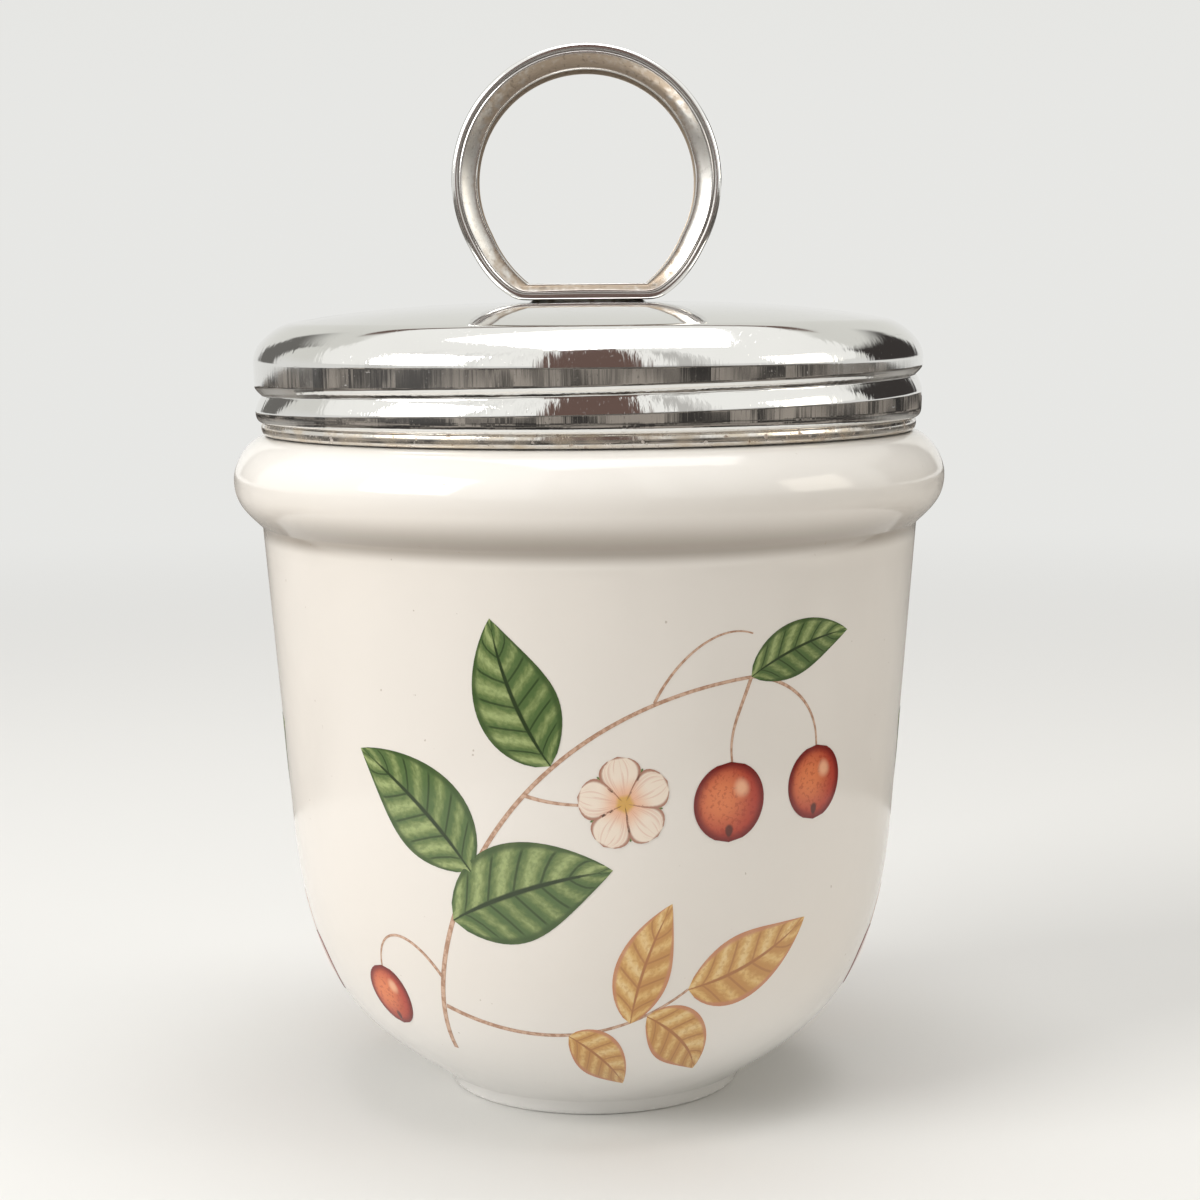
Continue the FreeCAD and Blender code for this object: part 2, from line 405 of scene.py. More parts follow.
# %% Place the lamps
LAMPS = {  # place, size, watts, colour
    "lamp_left": ((-0.58, -0.34, 0.40), 0.42, 3.9, (1.0, 0.99, 0.97)),
    "lamp_right": ((0.68, -0.16, 0.26), 0.30, 0.8, (1.0, 0.93, 0.80)),
    "lamp_over": ((0.05, 0.02, 0.75), 0.55, 3.0, (1.0, 1.0, 1.0)),
}
LAMP_AIM = Vector((0, 0, 0.045))

for name, (place, size, watts, color) in LAMPS.items():
    lamp = add_object(name, bpy.data.lights.new(name, "AREA"))
    lamp.data.size = size
    lamp.data.energy = watts
    lamp.data.color = color
    lamp.location = place
    lamp.rotation_euler = (LAMP_AIM - lamp.location).to_track_quat("-Z", "Y").to_euler()
print(len(LAMPS), "lamps")

# %% [markdown]
# ## A lathe in code
# Pot, lid and washer are round, so each is a profile spun about the upright axis. The helper closes
# the surface at the axis with single points and lets Blender turn all faces outwards. Curves in a
# profile are Bezier curves: two ends and two handles, as on a drawing.

# %% Write the lathe
LATHE_STEPS = 256
SHARP_EDGE = radians(42)


def bezier(poles, steps):
    """Points along the curve from the first pole to the last, in their own plane."""
    points = []
    for step in range(steps + 1):
        level = [Vector(pole) for pole in poles]
        while len(level) > 1:
            level = [a.lerp(b, step / steps) for a, b in zip(level, level[1:])]
        points.append(level[0])
    return points


def arc(centre, radius, start, end, steps):
    """Points on an arc, with its directions in degrees."""
    turns = [radians(start + (end - start) * step / steps) for step in range(steps + 1)]
    return [Vector(centre) + radius * direction(turn) for turn in turns]


def shifted(points, radius, height=0.0):
    """Points that are drawn from a corner at radius and height."""
    return [(radius + x, height + y) for x, y in points]


def finish_mesh(shape, name):
    """Turns a bmesh into an object whose smooth faces look outwards."""
    bmesh.ops.recalc_face_normals(shape, faces=shape.faces)
    mesh = bpy.data.meshes.new(name)
    shape.to_mesh(mesh)
    shape.free()
    mesh.polygons.foreach_set("use_smooth", [True] * len(mesh.polygons))
    mesh.set_sharp_from_angle(angle=SHARP_EDGE)
    return add_object(name, mesh)


def skin(shape, rows, closed_columns=False):
    """Faces between neighbouring rows of points. A row of one point is a pole."""
    pairs = list(zip(rows, rows[1:]))
    if closed_columns:
        pairs.append((rows[-1], rows[0]))
    for first, second in pairs:
        count = max(len(first), len(second))
        for i in range(count):
            j = (i + 1) % count
            corners = [first[i % len(first)], first[j % len(first)],
                       second[j % len(second)], second[i % len(second)]]
            shape.faces.new(list(dict.fromkeys(corners)))


def lathe(name, profile, loop=False):
    """The surface that a profile of (radius, height) in millimetres sweeps about the axis."""
    shape = bmesh.new()
    rows = []
    for radius, height in profile:
        turns = round_turns(LATHE_STEPS) if radius > 0 else [0.0]
        rows.append([shape.verts.new((radius * MM * cos(turn), radius * MM * sin(turn), height * MM))
                     for turn in turns])
    skin(shape, rows, closed_columns=loop)
    return finish_mesh(shape, name)


print("lathe ready,", LATHE_STEPS, "steps round")

# %% [markdown]
# ## The porcelain pot
# One glazed body from foot ring to rim. The belly leaves the foot at a shallow slope and swings up
# into an almost straight side; the collar is a soft roll with a small shelf on which the lid's hem
# looks down. Glaze softens every edge, so the profile has small roundings where the CAD has bevels.

# %% Draw the pot's profile
FOOT_RADIUS, FOOT_LAND, FOOT_RECESS = 13.2, 1.5, 1.1
FOOT_TOP = (13.9, 1.35)
FOOT_INNER_BEND = [(-FOOT_RECESS, FOOT_RECESS), (-0.2, FOOT_RECESS), (0, 0.15), (0.25, 0)]
FOOT_OUTER_BEND = [(-0.35, 0), (0, 0), (0.15, 0.3)]
BELLY_SLOPE, BELLY_LOW_PULL, BELLY_HIGH_PULL = radians(36), 7.8, 17.0
SIDE_START, SIDE_TOP = Vector((27.4, 25.0)), Vector((29.52, 51.7))
COLLAR_HEIGHT, LEDGE_HEIGHT = 55.9, 59.8
COLLAR_ROOT = Vector((1.3, 1.25))
UNDER_PULL, OVER_PULL, LEDGE_PULL = 2.1, 1.75, 1.4
NECK_RADIUS, HEM_BORE = 28.25, 29.0
SIDE_WALL, FLOOR_WALL, FLOOR_RADIUS, BOWL_PULL = 3.0, 3.6, 11.0, 4.5
RIM_ROUND, NECK_FILLET = 0.8, 0.4


def pot_outside():
    """From the foot ring's outer edge up to the shelf of the collar."""
    start = Vector(FOOT_TOP)
    low_handle = start + BELLY_LOW_PULL * direction(BELLY_SLOPE)
    high_handle = SIDE_START - BELLY_HIGH_PULL * (SIDE_TOP - SIDE_START).normalized()
    belly = bezier([start, low_handle, high_handle, SIDE_START], 48)
    side = [SIDE_START.lerp(SIDE_TOP, step / 12) for step in range(1, 12)]
    widest = Vector((collar_radius, COLLAR_HEIGHT))
    ledge = Vector((HEM_BORE, LEDGE_HEIGHT))
    under = bezier([SIDE_TOP, SIDE_TOP + COLLAR_ROOT, widest - Vector((0, UNDER_PULL)), widest], 20)
    over = bezier([widest, widest + Vector((0, OVER_PULL)), ledge + Vector((LEDGE_PULL, 0)), ledge], 20)
    return belly + side + under + over[1:]


def pot_profile():
    inside = FOOT_RADIUS - FOOT_LAND
    bore = SIDE_START.x - SIDE_WALL
    floor = FOOT_RECESS + FLOOR_WALL
    rim = rim_height - RIM_ROUND
    foot = [Vector((0, FOOT_RECESS)), Vector((inside - 2 * FOOT_RECESS, FOOT_RECESS))]
    foot += bezier(shifted(FOOT_INNER_BEND, inside), 6) + bezier(shifted(FOOT_OUTER_BEND, FOOT_RADIUS), 5)
    neck = bezier([(NECK_RADIUS + NECK_FILLET, LEDGE_HEIGHT), (NECK_RADIUS, LEDGE_HEIGHT),
                   (NECK_RADIUS, LEDGE_HEIGHT + NECK_FILLET)], 4)
    neck += arc((NECK_RADIUS - RIM_ROUND, rim), RIM_ROUND, 0, 90, 6)
    neck += arc((bore + RIM_ROUND, rim), RIM_ROUND, 90, 180, 6)
    bowl = bezier([(bore, SIDE_START.y), (bore, floor + BOWL_PULL), (FLOOR_RADIUS, floor)], 24)
    return foot + pot_outside() + neck + bowl + [Vector((0, floor))]


pot = lathe("pot_body", pot_profile())
print("pot", len(pot.data.polygons), "faces")

# %% [markdown]
# ## Rules that make meshes
# Threads and prints follow a rule, and Geometry Nodes state a rule in terms of named sizes. Each tree
# below runs as a modifier once, and its result is kept as a plain mesh, so the finished model needs
# no modifier. Three helpers open a tree, close it and run it.


# %% Write the Geometry Nodes helpers
def node_group(name, sizes, objects=()):
    """A Geometry Nodes tree with a geometry in, a geometry out and the named inputs."""
    group = bpy.data.node_groups.new(name, "GeometryNodeTree")
    group.interface.new_socket("Geometry", in_out="INPUT", socket_type="NodeSocketGeometry")
    for size in sizes:
        group.interface.new_socket(size, in_out="INPUT", socket_type="NodeSocketFloat")
    for thing in objects:
        group.interface.new_socket(thing, in_out="INPUT", socket_type="NodeSocketObject")
    group.interface.new_socket("Geometry", in_out="OUTPUT", socket_type="NodeSocketGeometry")
    tree = Tree(group)
    given = group.nodes.new("NodeGroupInput")
    return tree, {output.name: Socket(tree, output) for output in given.outputs if output.name}


def end_tree(tree, geometry, material):
    """Realize Instances, Set Material and the group's output."""
    real = tree.node("GeometryNodeRealizeInstances", {"Geometry": geometry})
    painted = tree.node("GeometryNodeSetMaterial", {"Geometry": real, "Material": material})
    tree.node("NodeGroupOutput", {0: painted})
    return tree


def run_tree(target, tree, sizes):
    """Runs a tree as a modifier on the object and keeps the result as its plain mesh."""
    modifier = target.modifiers.new(tree.tree.name, "NODES")
    modifier.node_group = tree.tree
    for item in tree.tree.interface.items_tree:
        if item.in_out == "INPUT" and item.name in sizes:
            modifier[item.identifier] = sizes[item.name]
    bpy.context.view_layer.update()
    evaluated = target.evaluated_get(bpy.context.evaluated_depsgraph_get())
    result = bpy.data.meshes.new_from_object(evaluated)
    target.modifiers.clear()
    old = target.data
    target.data = result
    bpy.data.meshes.remove(old)
    return target


print("rules can be written")

# %% [markdown]
# ## The neck's thread
# The lid screws onto a thread that is moulded on the neck. It is a ridge of trapezoid section on a
# helix, so Geometry Nodes can make it from two curves: a spiral for the path and a four-sided
# profile. At both ends the ridge shrinks and sinks into the neck, as a potter's mould leaves it.

# %% Write the thread rule
PITCH, THREAD_TURNS = 3.2, 1.25
THREAD_STEPS, THREAD_THINNEST = 160, 0.02
LID_THREAD_LOW, LID_THREAD_START = LEDGE_HEIGHT + 2.3, radians(-225)
NECK_OVER_LID = 1.4
NECK_THREAD_LOW, NECK_THREAD_DEPTH, NECK_THREAD_SUNK = LEDGE_HEIGHT + 1.1, 0.55, 0.2
FRONT = radians(-90)
CREST_OUTWARDS = radians(90)


def helix_ridge_tree(material):
    sizes = ["Pitch", "Turns", "Radius", "Depth", "Root", "Crest", "Taper"]
    tree, given = node_group("helix_ridge", sizes)
    turns, radius, depth = given["Turns"], given["Radius"], given["Depth"]
    path = tree.node("GeometryNodeCurveSpiral",
                     {"Resolution": THREAD_STEPS, "Rotations": turns, "Start Radius": radius,
                      "End Radius": radius, "Height": given["Pitch"] * turns})
    along = tree.node("GeometryNodeSplineParameter", output="Factor")
    fade = tree.ramp(along, 0.0, given["Taper"]) * tree.ramp(along, 1.0, 1 - given["Taper"])
    flat = tree.vector("MULTIPLY", tree.node("GeometryNodeInputPosition"), (1, 1, 0))
    sunk = tree.vector("SCALE", tree.vector("NORMALIZE", flat), Scale=(fade - 1) * depth)
    path = tree.node("GeometryNodeSetPosition", {"Geometry": path, "Offset": sunk})
    section = tree.node("GeometryNodeCurvePrimitiveQuadrilateral",
                        {"Height": depth, "Bottom Width": given["Root"], "Top Width": given["Crest"],
                         "Offset": 0.0}, mode="TRAPEZOID")
    section = tree.node("GeometryNodeTransform",
                        {"Geometry": section, "Rotation": (0, 0, CREST_OUTWARDS)})
    ridge = tree.node("GeometryNodeCurveToMesh",
                      {"Curve": path, "Profile Curve": section, "Fill Caps": True,
                       "Scale": fade * (1 - THREAD_THINNEST) + THREAD_THINNEST})
    return end_tree(tree, ridge, material)


print("thread rule written")

# %% [markdown]
# ## Finishes: the glaze
# Bone-coloured porcelain under a clear glaze. The body colour drifts a little, the glaze is slightly
# wavy because it flowed while it melted. The collar and the lower belly down to the foot are painted
# paler as painted light, and the hollow under the collar is painted darker as painted shade. The foot
# ring is dry and scuffed where the pot has been pushed about on tables.

# %% Mix the porcelain
CREAM = (0.81, 0.765, 0.715, 1)
CREAM_WARM = (0.78, 0.725, 0.66, 1)
# Painted light: the collar, ledge, neck and rim are painted paler than the body.
COLLAR_PAINTED_LIGHT = (0.87, 0.835, 0.785, 1)
# Painted shade: the hollow under the collar is painted darker than the glaze.
PAINTED_SHADE_UNDER_COLLAR = (0.31, 0.265, 0.22, 1)
# Painted light on the lower belly and the foot, which is also the colour of the scuffed foot.
FOOT_WEAR_AND_PAINTED_LIGHT = (0.87, 0.855, 0.83, 1)
SPECK = (0.32, 0.24, 0.17, 1)
HOLLOW_LOW, HOLLOW_HIGH = (50.3, 51.6), (55.0, 51.9)
COLLAR_FADE, FOOT_FADE = (54.0, 58.0), (17.0, 1.5)
GLAZE_ROUGHNESS, GLAZE_IOR = 0.09, 1.52


def porcelain():
    clay = Finish("glazed_porcelain")
    place = clay.coordinates()
    height = clay.split(place)[2]
    wear = clay.ramp(clay.noise(place, 0.9, 4.0) - height * 0.9, 0.1, 0.55)
    speck = clay.ramp(clay.noise(place, 1.6, 1.0), 0.80, 0.83)
    # Mask of the painted shade in the hollow under the collar.
    hollow = clay.ramp(height, *HOLLOW_LOW) * clay.ramp(height, *HOLLOW_HIGH)
    drift = clay.noise(place, 0.035, 2.0)
    wave = clay.noise(place, 0.11, 2.0)
    fine = clay.noise(place, 1.1)
    # The collar's pale colour is painted light, the hollow's dark colour is painted shade, and the pale
    # colour low down is painted light that also colours the scuffed foot.
    color = clay.layers(CREAM, (drift, CREAM_WARM), (clay.ramp(height, *COLLAR_FADE), COLLAR_PAINTED_LIGHT),
                        (hollow * 0.8, PAINTED_SHADE_UNDER_COLLAR),
                        (clay.larger(wear, clay.ramp(height, *FOOT_FADE)), FOOT_WEAR_AND_PAINTED_LIGHT),
                        (speck * 0.5, SPECK))
    return clay.set(Base_Color=color, Roughness=GLAZE_ROUGHNESS + wear * 0.5 + fine * 0.03,
                    Normal=clay.bump((wave, 0.10), (fine, 0.004)), IOR=GLAZE_IOR, Coat_Roughness=0.03)


glaze = porcelain()
pot.data.materials.append(glaze)
print("glaze mixed, roughness", GLAZE_ROUGHNESS)

# %% [markdown]
# Now the ridge can be made. It is turned to where the lid's own thread, with the lid screwed down,
# lies just below it.

# %% Run the thread rule
turned = (NECK_THREAD_LOW - LID_THREAD_LOW - NECK_OVER_LID) / PITCH * FULL_TURN
neck_thread = add_object("neck_thread", bpy.data.meshes.new("neck_thread"))
run_tree(neck_thread, helix_ridge_tree(glaze), {
    "Radius": (NECK_RADIUS + NECK_THREAD_DEPTH / 2 - NECK_THREAD_SUNK / 2) * MM,
    "Depth": (NECK_THREAD_DEPTH + NECK_THREAD_SUNK) * MM, "Root": 1.3 * MM, "Crest": 0.5 * MM,
    "Pitch": PITCH * MM, "Turns": THREAD_TURNS, "Taper": 0.08})
neck_thread.data.transform(Matrix.Translation((0, 0, NECK_THREAD_LOW * MM))
                           @ Matrix.Rotation(FRONT + LID_THREAD_START + turned, 4, "Z"))
reach, top = [max(abs(vertex.co[axis]) for vertex in neck_thread.data.vertices) / MM for axis in (0, 2)]
print("thread reaches radius", round(reach, 2), "and height", round(top, 2), "mm")

# %% [markdown]
# ## The pressed lid
# The lid is one disc of sheet metal: a crown that is almost flat, a faint crease, a rounded shoulder
# and a skirt, with a rolled thread that shows outside as a groove between two beads. The round form
# comes off the lathe, both skins of the sheet at once. The groove isn't round but climbs, so a rule
# moves the points: how far each goes in depends only on its height above or below the helix.

# %% Draw the lid's profile
SHEET = 0.45
HEM_RADIUS = HEM_BORE + SHEET
PANEL_RADIUS, PANEL_FALL, PANEL_FLATNESS = 26.7, 1.65, 3
CREASE = 1.15
RIM_SLOPE = radians(30)
SHOULDER_END, SHOULDER_PULL = 66.3, 1.45
BEAD_END = Vector((29.93, 61.95))
HEM_TOP = Vector((HEM_RADIUS - 0.14, 61.0))
HEM_CURL = [(HEM_RADIUS + 0.05, 60.85), (HEM_RADIUS + 0.05, 60.2), (HEM_RADIUS - 0.22, hem_bottom)]
BEAD_PULL, HEM_PULL = Vector((0.02, 0.75)), Vector((0.3, 0.05))
HEM_EDGE, HEM_CLEAR = [(0.1, 0), (0, 0.35)], 0.6
PANEL_STEPS, SHOULDER_STEPS, SKIRT_STEPS = 46, 50, 48


def panel_point(radius):
    """The crown: almost flat in the middle and falling away ever faster to its crease."""
    return Vector((radius, crown_height - PANEL_FALL * (radius / PANEL_RADIUS) ** PANEL_FLATNESS))


def lid_outside():
    """From the crown's centre over crease and shoulder and down the skirt to the rolled hem."""
    panel = [panel_point(PANEL_RADIUS * step / PANEL_STEPS) for step in range(PANEL_STEPS)]
    edge = panel_point(PANEL_RADIUS)
    bend = edge + CREASE / 2 * direction(-atan(PANEL_FLATNESS * PANEL_FALL / PANEL_RADIUS))
    start = bend + CREASE / 2 * direction(-RIM_SLOPE)
    end = Vector((skirt_radius, SHOULDER_END))
    shoulder = bezier([start, start + direction(-RIM_SLOPE), end + Vector((0, SHOULDER_PULL)), end],
                      SHOULDER_STEPS)
    skirt = [end.lerp(BEAD_END, step / SKIRT_STEPS) for step in range(1, SKIRT_STEPS)]
    turn_in = bezier([BEAD_END, BEAD_END - BEAD_PULL, HEM_TOP + HEM_PULL, HEM_TOP], 14)
    curl = bezier([HEM_TOP] + HEM_CURL, 12)
    return panel + bezier([edge, bend, start], 14) + shoulder[1:] + skirt + turn_in + curl[1:]


def inner_skin(outside):
    """The outside moved into the sheet by its thickness, from hem to crown."""
    inside = []
    for before, here, after in zip(outside, outside[1:], outside[2:]):
        run = (after - before).normalized()
        inside.append(here + SHEET * Vector((run.y, -run.x)))
    kept = [point for point in inside if point.y > hem_bottom + HEM_CLEAR]
    hem = [Vector(point) for point in shifted(HEM_EDGE, HEM_BORE, hem_bottom)]
    return hem + kept[::-1] + [Vector((0, crown_height - SHEET))]


outside = lid_outside()
lid = lathe("lid_pressing", outside + inner_skin(outside))
print("lid blank", len(lid.data.polygons), "faces")


# %% Write the rule for the rolled thread
ROLLED_SIZES = ["Pitch", "Turns", "Low", "Start", "Depth", "Inner depth", "Middle radius",
                "Upper width", "Lower width", "Run out"]


def rolled_thread_tree(material):
    tree, given = node_group("rolled_thread", ROLLED_SIZES)
    x, y, z = tree.split(tree.node("GeometryNodeInputPosition"))
    radius = (x * x + y * y) ** 0.5
    turn = tree.math("FRACT", (tree.math("ARCTAN2", x, -y) - given["Start"]) / FULL_TURN + 2.0)
    run_out = given["Run out"]
    depth = 0.0
    for winding in range(2):
        along = turn + winding
        over = z - given["Low"] - given["Pitch"] * along
        above = over.math("GREATER_THAN", 0.0)
        width = given["Upper width"] * above + given["Lower width"] * (1 - above)
        shape = tree.larger(1 - abs(over) / width, 0.0) ** 1.5
        fade = tree.ramp(along, 0.0, run_out) * tree.ramp(given["Turns"] - along, 0.0, run_out)
        depth = shape * fade + depth
    inner = radius.math("LESS_THAN", given["Middle radius"])
    reach = given["Inner depth"] * inner + given["Depth"] * (1 - inner)
    push = depth * reach / tree.larger(radius, MM)
    moved = tree.node("GeometryNodeSetPosition", {"Geometry": given["Geometry"],
                                                  "Offset": tree.combine(-(x * push), -(y * push))})
    return end_tree(tree, moved, material)


print("rolled thread rule written")

# %% [markdown]
# ## Finishes: plated steel
# Chromium plate mirrors the room almost perfectly, so its character is in the faults: hair-fine
# scratches on the dome, upright draw marks on the skirt from the press, a soft haze where fingers
# grip it, and specks of brown rust that start at the cut edge of the hem.

# %% Mix the chrome of the lid
PLATE = (0.86, 0.855, 0.84, 1)
PLATE_DULL = (0.62, 0.60, 0.57, 1)
WORN = (0.62, 0.50, 0.35, 1)
RUST = (0.22, 0.115, 0.06, 1)
HAZE = 0.05
WORN_BELOW = 61.15
SKIRT_OUTSIDE = (28.8 ** 2, 29.6 ** 2)


def scratches(finish, place, scale, angle):
    """Thin lines along one direction: noise that is stretched a hundredfold."""
    turned = finish.node("ShaderNodeVectorRotate", {"Vector": place, "Angle": radians(angle)},
                         rotation_type="Z_AXIS")
    long = finish.vector("MULTIPLY", turned, (scale, scale * 0.01, scale * 0.3))
    return finish.ramp(finish.noise(long, 1.0, 2.0), 0.70, 0.76)


def plated():
    plate = Finish("lid_plate")
    place = plate.coordinates()
    x, y, height = plate.split(place)
    marks = plate.larger(scratches(plate, place, 9.0, 24), scratches(plate, place, 7.0, -41))
    draw = plate.noise(plate.coordinates((1, 1, 0.03)), 1.6)
    streak = plate.noise(plate.coordinates((1, 1, 0.04)), 0.55, 2.0)
    skirt = plate.ramp(x * x + y * y, *SKIRT_OUTSIDE)
    smear = plate.noise(place, 0.12)
    hem = plate.ramp(height, WORN_BELOW, WORN_BELOW - 0.25)
    patchy = plate.ramp(plate.noise(plate.coordinates((1, 1, 2.0)), 0.5), 0.36, 0.70)
    flecks = plate.ramp(plate.noise(place, 1.7, 4.0), 0.60, 0.68)
    flecks = flecks * plate.ramp(height, WORN_BELOW + 0.3, WORN_BELOW - 0.6)
    color = plate.layers(PLATE, (smear * 0.3, PLATE_DULL), (hem * (0.2 + patchy * 0.5), WORN),
                         (flecks * (0.35 + patchy * 0.5), RUST))
    rough = HAZE + plate.ramp(smear, 0.45, 0.75) * 0.06 + marks * 0.12 + flecks * 0.3
    rough = rough + hem * (0.07 + patchy * 0.1)
    normal = plate.bump((draw * skirt, 0.022), (streak * skirt, 0.03), (smear, 0.02), (1 - marks, 0.002))
    bare = plate.larger(flecks * 0.8, hem * patchy * 0.25)
    return plate.set(Base_Color=color, Metallic=1 - bare, Roughness=rough, Normal=normal)


chrome = plated()
print("chrome mixed, roughness from", HAZE)

# %% Roll the thread into the lid
run_tree(lid, rolled_thread_tree(chrome), {
    "Pitch": PITCH * MM, "Turns": THREAD_TURNS, "Low": LID_THREAD_LOW * MM, "Start": LID_THREAD_START,
    "Depth": 0.62 * MM, "Inner depth": 0.95 * MM, "Middle radius": (skirt_radius - 0.3) * MM,
    "Upper width": 0.8 * MM, "Lower width": 1.45 * MM, "Run out": 0.06})
lid.data.materials.clear()
lid.data.materials.append(chrome)
print("lid", len(lid.data.polygons), "faces, groove", PITCH, "mm a turn")

# %% [markdown]
# ## The lifting ring
# A strip bent into a ring, with both its edges turned in, so the finger meets no sharp edge and the
# inside is a shallow channel. Its outline is a circle with a flat base. At every direction from the
# ring's centre the section reaches from that outline in to the finger opening, so the section is
# drawn once as a function of those two reaches and skinned from one direction to the next. Every
# point keeps its distance from both outlines as an attribute, for the finish to follow.

# %% Measure the two outlines from the ring's centre
ring_radius = ring_high.x
ring_rise = ring_high.z - ring_low.z - ring_radius
ring_centre = ring_low.z + ring_rise
half_width = ring_high.y
BEND_SHARPNESS, BASE_FROM = 60.0, 0.3
RIM_INSET = 0.05
LEG_FLARE, FLARE_FROM, FLARE_FULL = 0.30, 0.45, 0.8
FINGER_RADIUS = 9.7
FINGER_LEG_ANGLE, FINGER_LEG_BOW = radians(-28), 0.32
FINGER_BASE_HALF, FINGER_BASE_METAL = 5.3, 1.5


def smooth_step(value, low, high):
    share = min(max((value - low) / (high - low), 0.0), 1.0)
    return share * share * (3 - 2 * share)


def outer_reach(turn):
    """From the centre to the outline: the nearer of round and base, blended at the bends."""
    down = -sin(turn)
    round_reach = ring_radius - RIM_INSET + LEG_FLARE * smooth_step(down, FLARE_FROM, FLARE_FULL)
    if down <= BASE_FROM:
        return round_reach
    base = ring_rise / down
    return (round_reach ** -BEND_SHARPNESS + base ** -BEND_SHARPNESS) ** (-1 / BEND_SHARPNESS)


def circle_through(first, middle, last):
    """Centre and radius of the circle through three points."""
    a, b = middle - first, last - first
    scale = 2 * (a.x * b.y - a.y * b.x)
    centre = first + Vector((b.y * a.length_squared - a.y * b.length_squared,
                             a.x * b.length_squared - b.x * a.length_squared)) / scale
    return centre, (centre - first).length


leg_top = FINGER_RADIUS * direction(FINGER_LEG_ANGLE)
leg_foot = Vector((FINGER_BASE_HALF, FINGER_BASE_METAL - ring_rise))
leg_middle = (leg_top + leg_foot) / 2 + Vector((FINGER_LEG_BOW, -FINGER_LEG_BOW / 2))
leg_centre, leg_radius = circle_through(leg_top, leg_middle, leg_foot)
leg_corner = atan2(leg_foot.y, leg_foot.x)


def finger_reach(turn):
    """From the centre to the opening: its round, then the circle of a leg, then its flat base."""
    heading = atan2(sin(turn), abs(cos(turn)))
    if heading > FINGER_LEG_ANGLE:
        return FINGER_RADIUS
    if heading > leg_corner:
        along = leg_centre.dot(direction(heading))
        return along + sqrt(max(0.0, along ** 2 - leg_centre.length_squared + leg_radius ** 2))
    return leg_foot.y / sin(heading)


print("ring radius", round(ring_radius, 2), "mm, rise", round(ring_rise, 2), "mm")

# %% Skin the ring
RING_STEPS = 288
ROLL, STRIP, RIDGE = 0.40, 0.5, 0.90
GROOVE_IN, GROOVE_DEPTH = 0.17, 0.64
GROOVE_BED, GROOVE_ROUND = 0.83, 0.15
FLANGE_IN, LIP_END = 0.62, 1.3


def ring_section(turn):
    """Half of the section as (across, reach): rolled edge, groove, ridge, dished flange and lip."""
    outer, finger, front = outer_reach(turn), finger_reach(turn), half_width
    ridge, bed, dished, inner = outer - RIDGE, outer - STRIP, front - FLANGE_IN, front - LIP_END
    rolled = arc((front - ROLL, outer - ROLL), ROLL, 90, -30, 9)
    groove = [(front - 0.11, outer - GROOVE_DEPTH)]
    groove += arc((front - GROOVE_IN, outer - GROOVE_BED), GROOVE_ROUND, 45, -15, 5)
    flange = bezier([(front - 0.04, ridge), (front - 0.22, ridge * 0.78 + finger * 0.22),
                     (dished, ridge * 0.42 + finger * 0.58), (dished, finger + 0.16)], 10)
    lip = bezier([(dished, finger + 0.12), (dished - 0.04, finger), (front - 0.9, finger),
                  (inner, finger)], 4)
    inside = [(inner - 0.05, finger + 0.08), (inner, (outer + finger) / 2), (inner, bed - 0.2),
              (inner - 0.2, bed)]
    return [(0.0, outer)] + rolled + groove + flange + lip + inside + [(0.0, bed)]


def ring():
    shape = bmesh.new()
    from_rim = shape.verts.layers.float.new("from_rim")
    from_finger = shape.verts.layers.float.new("from_finger")
    corners = [leg_corner % FULL_TURN, (pi - leg_corner) % FULL_TURN]
    rows = []
    for turn in sorted(round_turns(RING_STEPS) + corners):
        half = ring_section(turn)
        row = []
        for across, reach in [(-across, reach) for across, reach in half] + half[-2:0:-1]:
            place = Vector((reach * cos(turn), across, ring_centre + reach * sin(turn)))
            row.append(shape.verts.new(place * MM))
            row[-1][from_rim] = outer_reach(turn) - reach
            row[-1][from_finger] = reach - finger_reach(turn)
        rows.append(row)
    skin(shape, rows, closed_columns=True)
    return finish_mesh(shape, "ring_strip")


lifting_ring = ring()
print("ring", len(lifting_ring.data.polygons), "faces")

# %% [markdown]
# The ring is the same plate as the lid but it is handled and heated more. Its rolled rim and its lip
# are still bright, the dished flange between them is satin and stained golden brown, most of all at
# the top and low on the legs. Part of that brown is painted shade: it deepens towards the finger
# opening, and it covers the inside of the channel as tarnish and painted shade together. The fine
# groove and a few specks on the flange are painted dark. The shader reads the distances from the two
# outlines that the mesh carries.

# %% Mix the tarnished plate
SATIN = (0.70, 0.68, 0.645, 1)
# Tarnish brown, also used as painted shade in the channel and towards the finger opening.
TARNISH_AND_PAINTED_SHADE = (0.36, 0.27, 0.185, 1)
# Dark colour of the fine groove and of the specks on the flange.
DARK_GROOVE_AND_SPECKS = (0.12, 0.095, 0.08, 1)


